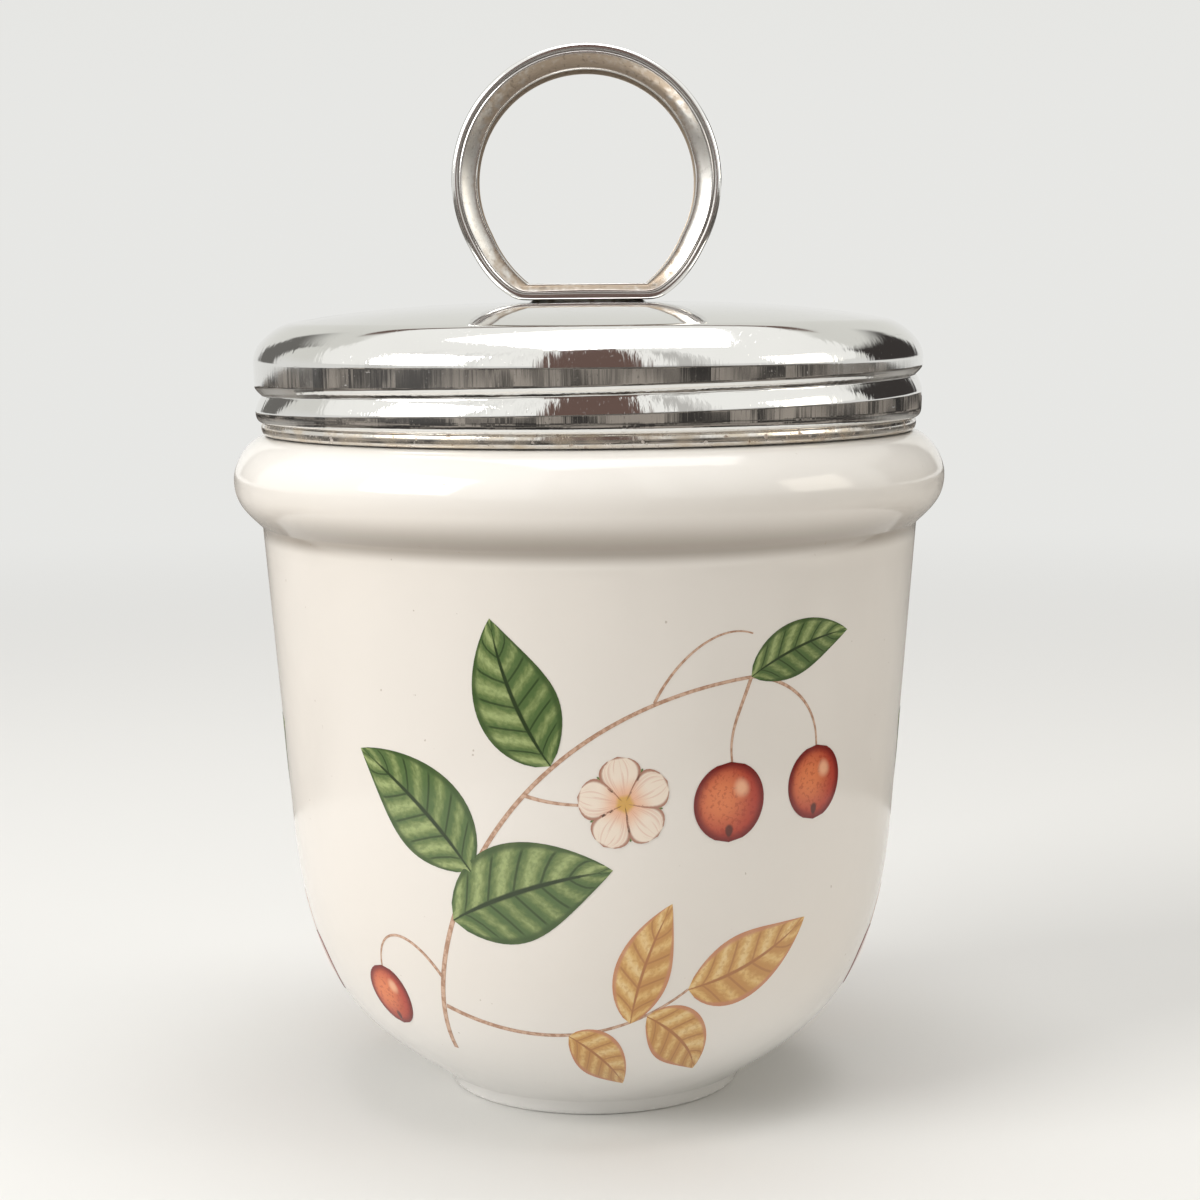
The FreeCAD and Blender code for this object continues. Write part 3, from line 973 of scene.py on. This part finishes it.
def tarnished():
    plate = Finish("ring_plate")
    ramp, larger = plate.ramp, plate.larger
    place = plate.coordinates()
    y, z = plate.split(place)[1:]
    from_rim, from_finger = [plate.node("ShaderNodeAttribute", output="Fac", attribute_name=name)
                             for name in ("from_rim", "from_finger")]
    speckle = plate.noise(place, 1.5, 5.0)
    drift = plate.noise(place, 0.17, 2.0)
    rise = (z - ring_centre) / ring_radius
    side = abs(y)
    ends = ramp(rise, 0.1, 0.85) * 0.75 + ramp(rise, -0.35, -0.75) * 0.6
    flange = ramp(from_rim, RIDGE - 0.1, RIDGE + 0.1) * ramp(from_finger, 0.06, 0.22)
    # The inside of the channel takes the brown as tarnish and painted shade together.
    channel = ramp(side, half_width - 0.8, half_width - 1.2) * ramp(from_rim, 0.15, 0.4)
    # The fine groove is painted dark.
    groove = ramp(abs(from_rim - GROOVE_DEPTH), GROOVE_ROUND, 0.05)
    groove = groove * ramp(side, half_width - 0.5, half_width - 0.3)
    # Painted shade: the stain grows towards the finger opening.
    shade = ramp(from_finger, 0.75, 0.2)
    stain_and_shade = ramp(speckle * 0.9 + drift * 0.35 + ends * 0.6 + shade * 0.2, 0.68, 1.15)
    spots = ramp(plate.noise(place, 2.4), 0.58, 0.66) * flange * (0.25 + ends * 0.6)
    stained_and_shaded = larger(flange * stain_and_shade * 0.85, channel * 0.8)
    satin = larger(flange, channel)
    color = plate.layers(PLATE, (satin, SATIN), (stained_and_shaded, TARNISH_AND_PAINTED_SHADE),
                         (larger(groove * 0.85, spots * 0.6), DARK_GROOVE_AND_SPECKS))
    rough = 0.09 + satin * 0.20 + stained_and_shaded * 0.10 + groove * 0.2
    rough = rough + scratches(plate, place, 8.0, 35) * 0.08 + drift * 0.05
    return plate.set(Base_Color=color, Metallic=1 - larger(stained_and_shaded * 0.35, groove * 0.5),
                     Normal=plate.bump((speckle, 0.006)), Roughness=rough)


lifting_ring.data.materials.append(tarnished())
print("ring plated")

# %% [markdown]
# ## Solder and washer
# The ring stands on a thin bed of solder, which has crept out a little on all sides and keeps a
# hollow edge where it wetted the dome. Inside the lid lies a flat rubber washer that the rim of the
# pot presses on, with its edges rounded by the mould.

# %% Cast the solder and mould the washer
SOLDER_STEPS = 96
SOLDER_SQUARE = 3.2
SOLDER_SUNK = 0.1
SOLDER_ROWS = [(0.0, 1.0), (0.12, 0.992), (0.3, 0.965), (0.55, 0.93), (0.8, 0.91), (1.0, 0.9)]
WASHER_WIDTH, WASHER_ROUND = 2.4, 0.22


def solder_bed():
    """Rows of a rounded rectangle, wide on the dome and narrow under the ring."""
    shape = bmesh.new()
    top = solder_high.z
    rows = [[shape.verts.new(Vector((0, 0, crown_height - SOLDER_SUNK)) * MM)]]
    for rise, spread in SOLDER_ROWS:
        row = []
        for turn in round_turns(SOLDER_STEPS):
            bulge = abs(cos(turn)) ** SOLDER_SQUARE + abs(sin(turn)) ** SOLDER_SQUARE
            bulge = spread * bulge ** (-1 / SOLDER_SQUARE)
            x, y = solder_high.x * bulge * cos(turn), solder_high.y * bulge * sin(turn)
            foot = panel_point(hypot(x, y)).y - SOLDER_SUNK
            row.append(shape.verts.new(Vector((x, y, foot + (top - foot) * rise)) * MM))
        rows.append(row)
    skin(shape, rows + [[shape.verts.new(Vector((0, 0, top)) * MM)]])
    return finish_mesh(shape, "solder_bed")


def washer_profile():
    """Four rounded corners, from the outer upper one down and round."""
    outer, inner = seal_high.x - WASHER_ROUND, seal_high.x - WASHER_WIDTH + WASHER_ROUND
    low, high = seal_low.z + WASHER_ROUND, seal_high.z - WASHER_ROUND
    corners = [((outer, high), 90), ((outer, low), 0), ((inner, low), -90), ((inner, high), 180)]
    return [point for centre, start in corners
            for point in arc(centre, WASHER_ROUND, start, start - 90, 5)]


solder = solder_bed()
washer = lathe("rubber_washer", washer_profile(), loop=True)
print("solder", len(solder.data.polygons), "faces, washer", len(washer.data.polygons), "faces")


# %% Mix solder and rubber
SOLDER_BRIGHT, SOLDER_DULL = (0.40, 0.385, 0.36, 1), (0.23, 0.20, 0.165, 1)
RUBBER, RUBBER_AGED = (0.60, 0.565, 0.50, 1), (0.50, 0.455, 0.38, 1)
RUBBER_PRESSED = (0.40, 0.36, 0.30, 1)
PRESS_RADIUS = NECK_RADIUS - 1.9


def solder_finish():
    metal = Finish("grey_solder")
    place = metal.coordinates()
    grain = metal.noise(place, 1.4, 5.0)
    creep = metal.noise(place, 0.5, 2.0)
    return metal.set(Base_Color=metal.mix(metal.ramp(grain, 0.35, 0.7), SOLDER_BRIGHT, SOLDER_DULL),
                     Metallic=0.9, Roughness=0.38 + grain * 0.2,
                     Normal=metal.bump((creep, 0.08), (grain, 0.03)))


def rubber_finish():
    rubber = Finish("white_rubber")
    place = rubber.coordinates()
    x, y = rubber.split(place)[:2]
    pressed = rubber.ramp(abs((x * x + y * y) ** 0.5 - PRESS_RADIUS), 1.3, 0.8)
    color = rubber.layers(RUBBER, (rubber.noise(place, 0.18), RUBBER_AGED),
                          (pressed * 0.25, RUBBER_PRESSED))
    return rubber.set(Base_Color=color, Roughness=0.62 - pressed * 0.15,
                      Normal=rubber.bump((rubber.noise(place, 2.2, 4.0), 0.02)))


solder.data.materials.append(solder_finish())
washer.data.materials.append(rubber_finish())
print("solder and rubber mixed")

# %% [markdown]
# ## The print, drawn flat
# The pot's flowers are a transfer: inks printed flat on a sheet, slid onto the glaze and fired. The
# drawing is made the same way, flat first, in millimetres round the pot and up it. Every motif is a
# grid of points along and across a curved middle line, and keeps those two as its UV map, so the
# ink can follow a leaf's own veins. A motif is a thin closed slab: its underside will sink into the
# glaze and its top will stand a few hundredths of a millimetre proud, each kind a little higher than
# the one it lies on.

# %% Draw one motif
SUNK = -0.05
DRAWN = {"stems": 0.022, "green_leaves": 0.034, "gold_leaves": 0.034, "berries": 0.046, "petals": 0.046}
WIDTHS = {  # half the width along a motif, from 0 at its stalk to 1 at its tip
    "leaf": lambda share: sin(pi * share ** 0.78) ** 0.9,
    "petal": lambda share: sin(pi * share ** 1.7) ** 0.6,
    "round": lambda share: sqrt(max(0.0, 1 - (2 * share - 1) ** 2)),
    "ribbon": lambda share: 1 - 0.45 * share,
}


class Sheet:
    """A flat drawing of one kind of motif, grown slab by slab."""

    def __init__(self, kind, mirror):
        self.kind = kind
        self.mirror = mirror
        self.shape = bmesh.new()
        self.uv = self.shape.loops.layers.uv.new("UVMap")

    def corner(self, point, depth):
        return self.shape.verts.new((point.x * self.mirror * MM, depth * MM, point.y * MM))

    def face(self, corners, flip):
        """One face from (vertex, u, v) corners. The mirrored sheet turns its faces over."""
        if flip != (self.mirror < 0):
            corners = corners[::-1]
        made = self.shape.faces.new([vertex for vertex, u, v in corners])
        for loop, (vertex, u, v) in zip(made.loops, corners):
            loop[self.uv].uv = (u, v)

    def motif(self, path, half_width, width, along=22, across=6, pointed=True):
        """A slab round the curve through path. A pointed one ends in single points."""
        middle = bezier(path, along)
        rows = []
        for i, point in enumerate(middle):
            ahead = (middle[min(i + 1, along)] - middle[max(i - 1, 0)]).normalized()
            side = Vector((-ahead.y, ahead.x)) * half_width * WIDTHS[width](i / along)
            single = pointed and i in (0, along)
            columns = [0.5] if single else [j / across for j in range(across + 1)]
            rows.append([(self.corner(point + side * (2 * v - 1), DRAWN[self.kind]),
                          self.corner(point + side * (2 * v - 1), SUNK), i / along, v) for v in columns])
        for first, second in zip(rows, rows[1:]):
            for j in range(across):
                square = [row[min(j + step, len(row) - 1)]
                          for row, step in ((first, 0), (first, 1), (second, 1), (second, 0))]
                square = list(dict.fromkeys(square))
                self.face([(top, u, v) for top, low, u, v in square], False)
                self.face([(low, u, v) for top, low, u, v in square], True)
        rim = [row[0] for row in rows] + [row[-1] for row in rows[::-1] if len(row) > 1]
        if not pointed:
            rim = ([row[0] for row in rows[:-1]] + rows[-1][:-1] + [row[-1] for row in rows[:0:-1]]
                   + rows[0][:0:-1])
        for here, there in zip(rim, rim[1:] + rim[:1]):
            self.face([(here[0], *here[2:]), (there[0], *there[2:]), (there[1], *there[2:]),
                       (here[1], *here[2:])], True)

    def leaf(self, stalk, tip, width, bend):
        """A leaf from stalk to tip, its middle line pulled sideways by bend."""
        stalk, tip = Vector(stalk), Vector(tip)
        run = tip - stalk
        pull = (stalk + tip) / 2 + Vector((-run.y, run.x)) * bend
        self.motif([stalk, pull, tip], width / 2, "leaf")


print("motif rules written, inks", len(DRAWN))

# %% [markdown]
# ## Wrap the drawing round the pot
# A Geometry Nodes rule takes every point of the flat sheet to its bearing round the pot, shoots a ray
# inwards at its height, and sets the point down where the ray meets the glaze. The third coordinate
# of the sheet, its thickness, becomes the distance from the surface.

# %% Write the wrapping rule
PRINT_RADIUS = 28.5
OUTSIDE = 60.0


def wrap_tree(material):
    tree, given = node_group("wrap_print", ["Bearing", "Radius", "Outside"], ["Pot"])
    x, y, z = tree.split(tree.node("GeometryNodeInputPosition"))
    bearing = x / given["Radius"] + given["Bearing"]
    outwards = tree.combine(bearing.math("SINE"), -bearing.math("COSINE"))
    start = tree.vector("ADD", tree.vector("SCALE", outwards, Scale=given["Outside"]), tree.combine(z=z))
    surface = tree.node("GeometryNodeObjectInfo", {"Object": given["Pot"]}, "Geometry")
    cast = tree.node("GeometryNodeRaycast", {
        "Target Geometry": surface, "Source Position": start, "Ray Length": given["Outside"],
        "Ray Direction": tree.vector("SCALE", outwards, Scale=-1.0)}, "Hit Position")
    normal = Socket(tree, cast.socket.node.outputs["Hit Normal"])
    place = tree.vector("ADD", cast, tree.vector("SCALE", normal, Scale=y))
    moved = tree.node("GeometryNodeSetPosition", {"Geometry": given["Geometry"], "Position": place})
    return end_tree(tree, moved, material)


print("wrapping rule written")

# %% [markdown]
# ## Inks
# Ceramic inks are flat colours that a drawn line gives life to. Each ink's shader reads the motif's
# own UV map: u runs from stalk to tip and v from edge to edge, so the distance from the middle line,
# the slanting side veins and the dark outline are all short sums. The glaze over them is as glossy
# as on the bare pot.

# %% Mix the leaves' inks
INK_ROUGHNESS = 0.12
LEAF_INKS = {  # dark, middle, light, vein, edge, side veins, grain
    "green_ink": ((0.092, 0.150, 0.050, 1), (0.195, 0.250, 0.090, 1), (0.39, 0.46, 0.195, 1),
                  (0.030, 0.048, 0.018, 1), (0.052, 0.090, 0.030, 1), 6.0, 0.25),
    "gold_ink": ((0.56, 0.29, 0.095, 1), (0.71, 0.44, 0.16, 1), (0.82, 0.62, 0.32, 1),
                 (0.42, 0.18, 0.07, 1), (0.55, 0.24, 0.14, 1), 5.0, 0.50),
}


class Ink(Finish):
    """A glazed ink that follows its motif's UV map."""

    def motif_uv(self):
        """u from stalk to tip, v from edge to edge and the distance from the middle line, 0 to 1."""
        u, v = self.split(self.node("ShaderNodeUVMap", uv_map="UVMap"))[:2]
        return u, v, abs(v * 2 - 1)

    def round_reach(self, u, v):
        """Distance from the middle of a round motif, 1 at its edge. v is squeezed by the outline."""
        x, y = u * 2 - 1, v * 2 - 1
        width = self.larger(1 - x * x, 0.0) ** 0.5
        return (x * x + (y * width) * (y * width)) ** 0.5

    def fire(self, *painted):
        """Colours laid in turn, as in layers, under the clear glaze."""
        return self.set(Base_Color=self.layers(*painted), Roughness=INK_ROUGHNESS, IOR=GLAZE_IOR)


def leaf_ink(name):
    dark, middle, light, vein, edge, veins, grain_strength = LEAF_INKS[name]
    ink = Ink(name)
    ramp = ink.ramp
    u, v, off = ink.motif_uv()
    slant = (u - off * 0.16) * veins
    near_vein = abs(slant.math("FRACT") - 0.5)
    side_veins = ramp(near_vein, 0.07, 0.02) * ramp(off, 0.92, 0.75) * ramp(u, 0.05, 0.12)
    hatch = ink.noise(ink.combine(slant * 2.2, off * 2.0, v * 3.0), 3.0, 4.0)
    grain = ink.noise(ink.coordinates(), 2.6)
    tone = ramp(near_vein, 0.05, 0.5) * 0.55 + hatch * 0.7 + ramp(v, 0.46, 0.54) * 0.22 - 0.38
    middle_line = ramp(off, 0.075, 0.03) * ramp(u, 0.985, 0.8)
    return ink.fire(dark, (ramp(tone, 0.05, 0.55), middle), (ramp(tone, 0.35, 0.95), light),
                    (ramp(grain, 0.5, 0.62) * grain_strength, dark),
                    (ink.larger(side_veins * 0.75, middle_line), vein),
                    (ramp(off, 0.80, 0.93) * 0.85, edge))


inks = {"green_leaves": leaf_ink("green_ink"), "gold_leaves": leaf_ink("gold_ink")}
print("inks", sorted(inks))


# %% Mix the inks of berries, petals and stems
BERRY, BERRY_SHADE, BERRY_RIM = (0.74, 0.215, 0.085, 1), (0.44, 0.055, 0.032, 1), (0.17, 0.016, 0.013, 1)
BERRY_DOTS, BERRY_SHINE, BERRY_EYE = (0.27, 0.025, 0.018, 1), (0.90, 0.52, 0.32, 1), (0.07, 0.02, 0.015, 1)
PETAL, PETAL_BLUSH, PETAL_HEART = (0.84, 0.72, 0.60, 1), (0.80, 0.46, 0.30, 1), (0.66, 0.38, 0.09, 1)
PETAL_LINES, PETAL_EDGE = (0.62, 0.30, 0.22, 1), (0.36, 0.155, 0.10, 1)
STEM, STEM_DASHES, STEM_EDGE = (0.62, 0.42, 0.31, 1), (0.43, 0.25, 0.165, 1), (0.33, 0.17, 0.10, 1)


def berry_ink():
    ink = Ink("berry_ink")
    ramp, reach = ink.ramp, ink.round_reach
    u, v = ink.motif_uv()[:2]
    stipple = ink.noise(ink.coordinates(), 3.2, 2.0)
    return ink.fire(BERRY, (ramp(reach(u - 0.05, v - 0.12), 0.15, 1.05), BERRY_SHADE),
                    (ramp(reach(u, v), 0.72, 0.98), BERRY_RIM),
                    (ramp(stipple, 0.52, 0.64) * 0.35, BERRY_DOTS),
                    (ramp(reach(u - 0.17, v + 0.17), 0.32, 0.08) * 0.75, BERRY_SHINE),
                    (ramp(reach(u + 0.36, v), 0.20, 0.11) * 0.85, BERRY_EYE))


def petal_ink():
    ink = Ink("petal_ink")
    ramp = ink.ramp
    u, v, off = ink.motif_uv()
    lines = ramp(ink.noise(ink.combine(u * 0.5, v * 9.0), 2.0, 2.0), 0.52, 0.62)
    outline = ink.larger(ramp(off, 0.78, 0.93), ramp(u, 0.93, 0.985))
    return ink.fire(PETAL, (ramp(u, 0.6, 0.15), PETAL_BLUSH), (ramp(u, 0.22, 0.12), PETAL_HEART),
                    (lines * 0.35, PETAL_LINES), (outline * 0.9, PETAL_EDGE))


def stem_ink():
    ink = Ink("stem_ink")
    off = ink.motif_uv()[2]
    dashes = ink.ramp(ink.noise(ink.coordinates(), 2.4, 2.0), 0.4, 0.62)
    return ink.fire(STEM, (dashes, STEM_DASHES), (ink.ramp(off, 0.55, 1.0) * 0.5, STEM_EDGE))


inks.update(stems=stem_ink(), berries=berry_ink(), petals=petal_ink())
print("inks", sorted(inks))

# %% [markdown]
# ## A spray
# One drawing holds an arching stem with green leaves on alternate sides, smooth round berries that
# hang on long stalks, an open blossom and a low twig of golden autumn leaves. The pot carries it
# three times, and the one to the left is mirrored so that the eye doesn't catch the repeat.

# %% Draw the spray
STEMS = [  # path, half its width
    ([(-16, 8), (-14, 24), (-4, 40), (14, 41)], 0.25),
    ([(-14.9, 12.5), (-7, 9.5), (2, 9.5), (9, 14.5)], 0.20),
    ([(13.6, 41), (12.6, 38), (11.6, 36.5), (12.1, 33.9)], 0.16),
    ([(13.8, 41), (17.5, 40.5), (20.8, 38), (20.9, 34.4)], 0.16),
    ([(-14.6, 15.2), (-17.5, 19.6), (-21.6, 19.4), (-22.2, 15.1)], 0.15),
    ([(-5.6, 31.7), (-3.5, 31), (-1, 30.8), (1.8, 31)], 0.16),
    ([(5.2, 39.3), (7, 43), (10.5, 45.8), (13.6, 44.6)], 0.12),
]
LEAVES = {  # stalk, tip, width, bend
    "green_leaves": [((-12.6, 20.6), (1.8, 25.4), 8.6, 0.10), ((-10.6, 25), (-21.5, 34.5), 7.6, -0.12),
                     ((-3.3, 34.2), (-8, 46.3), 7.0, 0.12), ((13.6, 41), (24, 44), 4.6, 0.14)],
    "gold_leaves": [((9, 14.5), (21, 19.5), 6.4, -0.12), ((5.2, 12.2), (12.5, 5.8), 5.6, 0.12),
                    ((3.6, 11.6), (7.0, 22.3), 5.2, 0.10), ((-2.5, 10.4), (3.8, 4.6), 5.0, 0.10)],
}
BERRIES = [((12, 30.6), 3.4), ((21, 31.3), 3.2), ((-22.3, 12.4), 2.8)]
BLOSSOM, PETALS, PETAL_LENGTH, PETAL_HALF = Vector((2.8, 31)), 5, 4.0, 1.75
BLOSSOM_TURN = 9
SEPAL_WIDTH, SEPAL_START, SEPAL_LENGTH = 1.1, 0.8, 0.82


def draw_spray(mirror):
    """The flat sheets of one spray, one for each ink."""
    sheets = {kind: Sheet(kind, mirror) for kind in DRAWN}
    for path, half in STEMS:
        sheets["stems"].motif([Vector(point) for point in path], half, "ribbon", 56, 2, pointed=False)
    for kind, leaves in LEAVES.items():
        for leaf in leaves:
            sheets[kind].leaf(*leaf)
    for centre, radius in BERRIES:
        low, high = [Vector(centre) + Vector((0, side)) for side in (-radius, radius)]
        sheets["berries"].motif([low, high], radius * 0.97, "round", 24, 8)
    for petal in range(PETALS):
        turn = radians(90 + 360 / PETALS * petal + BLOSSOM_TURN)
        tip = BLOSSOM + direction(turn) * PETAL_LENGTH
        sheets["petals"].motif([BLOSSOM, tip], PETAL_HALF, "petal", 14, 6)
        aim = direction(turn + FULL_TURN / (2 * PETALS))
        sheets["green_leaves"].leaf(BLOSSOM + aim * SEPAL_START, BLOSSOM + aim * PETAL_LENGTH * SEPAL_LENGTH,
                                    SEPAL_WIDTH, 0.0)
    return sheets


print("spray of", len(STEMS), "stems and", len(BERRIES), "berries")

# %% Wrap the spray round the pot three times
BEARINGS = [(0.0, 1), (122.0, 1), (-121.0, -1)]
decals = []
for index, (bearing, mirror) in enumerate(BEARINGS):
    for kind, sheet in draw_spray(mirror).items():
        flat = finish_mesh(sheet.shape, "print_%s_%d" % (kind, index))
        decals.append(run_tree(flat, wrap_tree(inks[kind]), {
            "Bearing": radians(bearing), "Radius": PRINT_RADIUS * MM, "Outside": OUTSIDE * MM, "Pot": pot}))
print(len(decals), "printed pieces,", sum(len(piece.data.polygons) for piece in decals), "faces")

# %% [markdown]
# ## Ride and replace
# Each piece is parented to the moving body it belongs to, and the CAD node that it stands for is
# hidden. Last, the number of pieces and of triangles is printed.

# %% Tie the pieces to the frame
pieces = [
    (pot, "pot", "pot", "porcelain"),
    (neck_thread, "pot", None, "porcelain"),
    (washer, "seal", "lid_seal", "seal_rubber"),
    (lid, "lid", "lid_shell", "lid_chrome"),
    (lifting_ring, "lid", "lifting_ring", "ring_chrome"),
    (solder, "lid", "ring_solder", "solder"),
] + [(decal, "pot", None, "porcelain") for decal in decals]
for piece, body, node, slot in pieces:
    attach(piece, body)
    if node:
        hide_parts(node)
triangles = sum(len(polygon.vertices) - 2 for piece in pieces for polygon in piece[0].data.polygons)
print(len(pieces), "pieces,", triangles, "triangles")
